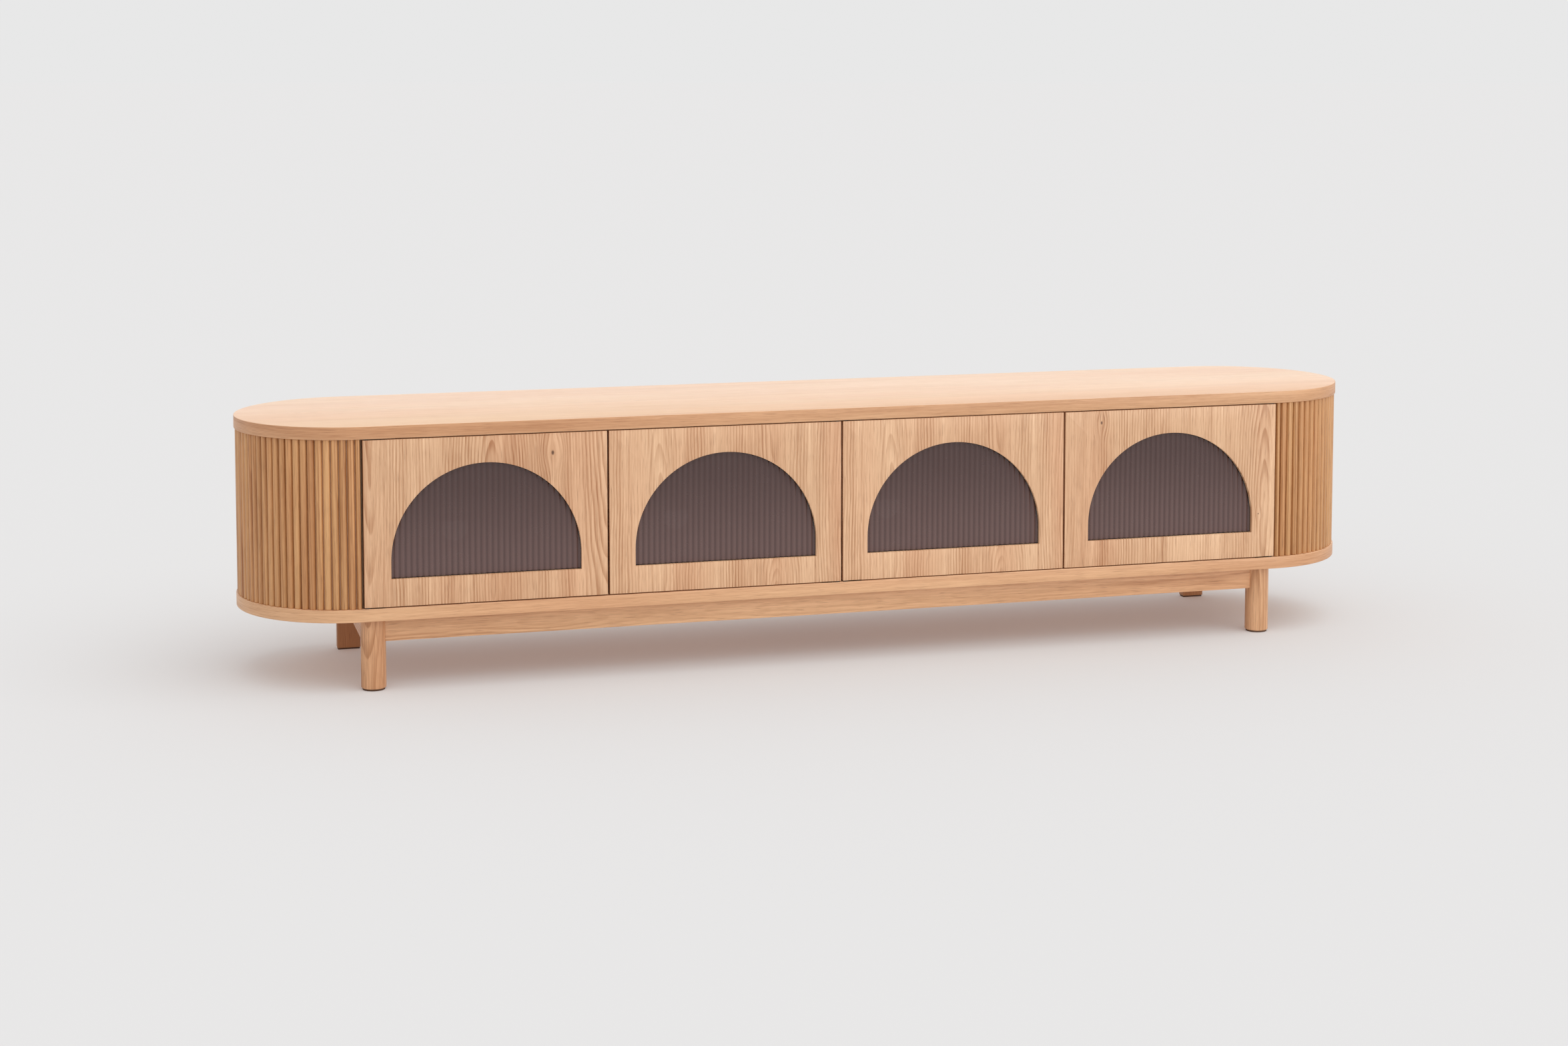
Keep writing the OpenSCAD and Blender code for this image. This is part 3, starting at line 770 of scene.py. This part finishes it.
def make_grommets():
    """Flanged rings in the cable holes of the back panels."""
    low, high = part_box("cable_grommets")
    outer = (high[2] - low[2]) / 2
    flange, lip = GROMMET_FLANGE_T, GROMMET_LIP
    wall_outer = outer - GROMMET_FLANGE_W
    bm = bmesh.new()
    for x, z, bore in cable_holes():
        profile = [(bore + lip, low[1]), (wall_outer, low[1]), (wall_outer, high[1] - flange),
                   (outer, high[1] - flange), (outer, high[1] - lip), (outer - lip, high[1]),
                   (bore + 2 * lip, high[1]), (bore + 0.6 * lip, high[1] - 0.4 * lip),
                   (bore, high[1] - 2 * lip), (bore, low[1] + lip)]
        lathe(bm, profile, lambda a, b, h: (x + a, h, z + b))
    make_piece("cable_grommets", bm, [M["grommet"]], "cabinet", ["cable_grommets"],
               sharp=50)


def make_back_panel(node):
    """A thin panel with round cable holes."""
    low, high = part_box(node)
    holes = [circle(x, z, bore + PANEL_HOLE_MARGIN) for x, z, bore in cable_holes()
             if low[0] < x < high[0]]
    outline = rectangle(low[0], low[2], high[0], high[2], corner=PANEL_CORNER)
    bm = bmesh.new()
    edge = add_loops(bm, eased(outline, low[1], high[1], ease=PANEL_EASE), "y", False, False)
    rims = [add_loops(bm, [(hole(0), low[1]), (hole(0), high[1])], "y", False, False) for hole in holes]
    ring_cap(bm, edge[0], *[rim[0] for rim in rims])
    ring_cap(bm, edge[-1], *[rim[-1] for rim in rims])
    make_piece(node, bm, [M["veneer"]], "cabinet", [node],
               grain=along("zxy", (31.0 + 3 * middle(node)[0], 0.4, 0.0)), tone=-0.05)


# the head of a screw, in shares of its radius or of its height
HEAD_RINGS = (0.12, 0.25, 0.40, 0.52, 0.62, 0.80, 0.93, 1.0)
HEAD_DOME = 0.35
RECESS_DEPTH = 0.65
RECESS_CENTRE = 0.2
RECESS_REACH = 0.6
RECESS_HALF_WIDTH = 0.17


def screw_head(bm, to_place, r, height, shank_r, shank_end, steps=48):
    """A low domed head with a cross recess; heights grow outwards from the surface it sits on."""
    rings = []
    for share in HEAD_RINGS:
        ring = []
        for k in range(steps):
            a = 2 * math.pi * k / steps
            in_slot = share < RECESS_REACH and abs(math.sin(2 * a)) * share < RECESS_HALF_WIDTH
            dome = height * (1 - HEAD_DOME * share ** 2)
            h = dome - height * RECESS_DEPTH * (in_slot or share < RECESS_CENTRE)
            ring.append(bm.verts.new(to_place(r * share * math.cos(a), r * share * math.sin(a), h)))
        rings.append(ring)
    for radius, h in ((r, 0.0), (shank_r, 0.0), (shank_r, -shank_end)):
        rings.append([bm.verts.new(to_place(x, y, h)) for x, y in circle(0, 0, radius, steps)(0)])
    for a, b in zip(rings, rings[1:]):
        for k in range(steps):
            j = (k + 1) % steps
            bm.faces.new((a[k], a[j], b[j], b[k]))
    bm.faces.new(list(reversed(rings[0])))
    bm.faces.new(rings[-1])


NEAR = 4 * MM             # a vertex this close to the box of a screw's other vertices belongs to it


def islands(node, axis_pair):
    """Centres, in two axes, of the separate solids of a CAD node of like parts."""
    mesh = frame["nodes"][node].data
    found = []
    for vertex in mesh.vertices:
        spot = [vertex.co[AXES[axis]] for axis in axis_pair]
        near = [group for group in found
                if all(g[0] - NEAR < c < g[1] + NEAR for g, c in zip(group, spot))]
        if near:
            for g, c in zip(near[0], spot):
                g[0], g[1] = min(g[0], c), max(g[1], c)
        else:
            found.append([[c, c] for c in spot])
    return sorted([tuple((g[0] + g[1]) / 2 for g in group) for group in found])


BACK_SCREW = (3 * MM, 1.2 * MM, 1.5 * MM)       # radius and height of the head, radius of the shank
BASE_SCREW = (4.5 * MM, 2.5 * MM, 2.25 * MM)


def make_back_screws():
    """Small screws whose heads lie on the rear face of the back panels."""
    low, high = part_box("back_screws")
    head_r, head_t, shank_r = BACK_SCREW
    bm = bmesh.new()
    for x, z in islands("back_screws", "xz"):
        screw_head(bm, lambda a, b, h: (x + a, high[1] - head_t + h, z + b), head_r, head_t, shank_r,
                   high[1] - head_t - low[1])
    make_piece("back_screws", bm, [M["steel"]], "cabinet", ["back_screws"], sharp=40)


def make_base_screws():
    """Screws up through the rails into the bottom, their heads below."""
    low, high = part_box("base_screws")
    head_r, head_t, shank_r = BASE_SCREW
    bm = bmesh.new()
    for x, y in islands("base_screws", "xy"):
        screw_head(bm, lambda a, b, h: (x + a, y - b, low[2] + head_t - h), head_r, head_t, shank_r,
                   high[2] - head_t - low[2])
    make_piece("base_screws", bm, [M["steel"]], "cabinet", ["base_screws"], sharp=40)


GLIDE_EASE = 0.5 * MM
ROUND_GLIDE_INSET = 2 * MM
FLAT_GLIDE_INSET = 1 * MM
FLAT_GLIDE_CORNER = 1.5 * MM


def make_glides():
    """Hard felt pads: discs under the front legs and rectangles under the rear ones."""
    low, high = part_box("foot_glides")
    bm = bmesh.new()
    for side in ("left", "right"):
        leg_low, leg_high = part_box("front_leg_" + side)
        c = middle("front_leg_" + side)
        pad = circle(c[0], c[1], (leg_high[0] - leg_low[0]) / 2 - ROUND_GLIDE_INSET)
        add_loops(bm, eased(pad, low[2], leg_low[2], ease=GLIDE_EASE), "z")
        leg_low, leg_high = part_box("rear_leg_" + side)
        m = FLAT_GLIDE_INSET
        pad = rectangle(leg_low[0] + m, leg_low[1] + m, leg_high[0] - m, leg_high[1] - m,
                        corner=FLAT_GLIDE_CORNER)
        add_loops(bm, eased(pad, low[2], leg_low[2], ease=GLIDE_EASE), "z")
    make_piece("foot_glides", bm, [M["glide"]], "cabinet", ["foot_glides"], sharp=50)


# ---------------------------------------------------------------- floor, light, world

BACKGROUND = 0.806        # radiance of the studio all round
FLOOR_RADIUS = 120        # metres
FLOOR_COLOUR = (0.560, 0.592, 0.600)
FLOOR_GLOW = (0.180, 0.138, 0.128)    # with FLOOR_COLOUR, a neutral grey where nothing shades the floor; the warm glow is painted light that lifts the cabinet's shadow and warms it
SUN_STRENGTH = 1.16
SUN_SIZE = 70             # degrees
SUN_FROM = (0.35, -0.45, 1.0)


def make_floor():
    """A pale floor without an edge in sight, matched to the background."""
    bm = bmesh.new()
    bm.faces.new([bm.verts.new((x, y, 0)) for x, y in circle(0, 0, FLOOR_RADIUS, steps=96)(0)])
    mesh = bpy.data.meshes.new("floor")
    bm.to_mesh(mesh)
    bm.free()
    floor = bpy.data.objects.new("floor", mesh)
    bpy.context.scene.collection.objects.link(floor)
    material = bpy.data.materials.new("pale_floor")
    n = Nodes(material)
    shader = n.add("ShaderNodeBsdfPrincipled",
                   {"Base Color": rgba(*FLOOR_COLOUR), "Roughness": 1.0, "Specular IOR Level": 0.0,
                    "Emission Color": rgba(*FLOOR_GLOW), "Emission Strength": 1.0})
    n.finish(shader)
    mesh.materials.append(material)
    floor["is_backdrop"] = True


def make_world():
    """An even white studio all round."""
    world = bpy.data.worlds.new("studio")
    bpy.context.scene.world = world
    world.use_nodes = True
    background = world.node_tree.nodes["Background"]
    background.inputs[0].default_value = rgba(1, 1, 1)
    background.inputs[1].default_value = BACKGROUND
    bpy.context.scene.view_settings.view_transform = "Standard"


def aim(light, at):
    """Turns a light, which shines along its own -Z, towards a point."""
    light.rotation_euler = (light.location - Vector(at)).to_track_quat("Z", "Y").to_euler()


def make_sun():
    """The overhead light, soft enough that the cabinet's shadow has no edge."""
    data = bpy.data.lights.new("overhead_soft", "SUN")
    data.energy = SUN_STRENGTH
    data.angle = math.radians(SUN_SIZE)
    light = bpy.data.objects.new("overhead_soft", data)
    light.location = SUN_FROM
    aim(light, (0, 0, 0))
    bpy.context.scene.collection.objects.link(light)


def make_softbox(name, place, at, size, radiance):
    """A rectangular light that falls on the cabinet and not on the floor."""
    data = bpy.data.lights.new(name, "AREA")
    data.shape = "RECTANGLE"
    data.size, data.size_y = size
    data.energy = radiance * math.pi * size[0] * size[1]
    light = bpy.data.objects.new(name, data)
    light.location = place
    aim(light, at)
    bpy.context.scene.collection.objects.link(light)
    lit = bpy.data.collections.new(name + "_lit")
    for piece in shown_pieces():
        lit.objects.link(piece)
    light.light_linking.receiver_collection = lit


# ---------------------------------------------------------------- build

make_camera()
make_floor()
make_world()
make_sun()

make_slab("top_panel", M["top"], 0.0)
make_slab("bottom_panel", M["veneer"], 14.3, tone=0.08)
make_slats("slats_left", -1)
make_slats("slats_right", 1)
for i in DOORS:
    make_door_frame(i)
    make_glass(i)
    make_bead(i)
make_front_leg("front_leg_left", 3.15)
make_front_leg("front_leg_right", 4.2)
# painted shade: the rear legs are darkened for the shade under the cabinet
make_board("rear_leg_left", "zxy", "solid", 6.0, tone=-0.7)
make_board("rear_leg_right", "zxy", "solid", 7.5, tone=-0.6)
make_board("front_rail", "xzy", "solid", 13.55)
make_board("rear_rail", "xzy", "solid", 17.0, tone=-0.1)
for i in DOORS:
    make_board(f"shelf_{i}", "xyz", "veneer", 20.0 + i * 1.7)
make_back_panel("back_panel_left")
make_back_panel("back_panel_right")
make_grommets()
make_back_screws()
make_base_screws()
make_glides()

LOOKS = {
    "wall": ["end_upright_left", "end_upright_right",
             "partition_left", "partition_centre", "partition_right"],
    "back": ["curved_shell_left", "curved_shell_right", "corner_blocks"],
    "cross": ["side_rail_left", "side_rail_right", "centre_rail"],
    "steel": ["shelf_pins"] + [f"strike_plate_{i}" for i in DOORS],
    "black_steel": ["hinge_plates", "hinge_screws"],
    "acetal": [f"hinge_bushes_{i}" for i in DOORS],
    "latch": ["latch_housings"],
    "plunger": [f"latch_plunger_{i}" for i in DOORS],
}
for look, names in LOOKS.items():
    for name in names:
        for material_slot in frame["nodes"][name].material_slots:
            material_slot.material = M[look]

make_softbox("front_right_softbox", place=(2.6, -4.0, 1.0), at=(0.3, -0.2, 0.3), size=(2.6, 1.8),
             radiance=2.3)
make_softbox("rear_softbox", place=(0.9, 4.5, 1.3), at=(0, 0, 0.46), size=(6.0, 1.6), radiance=0.75)
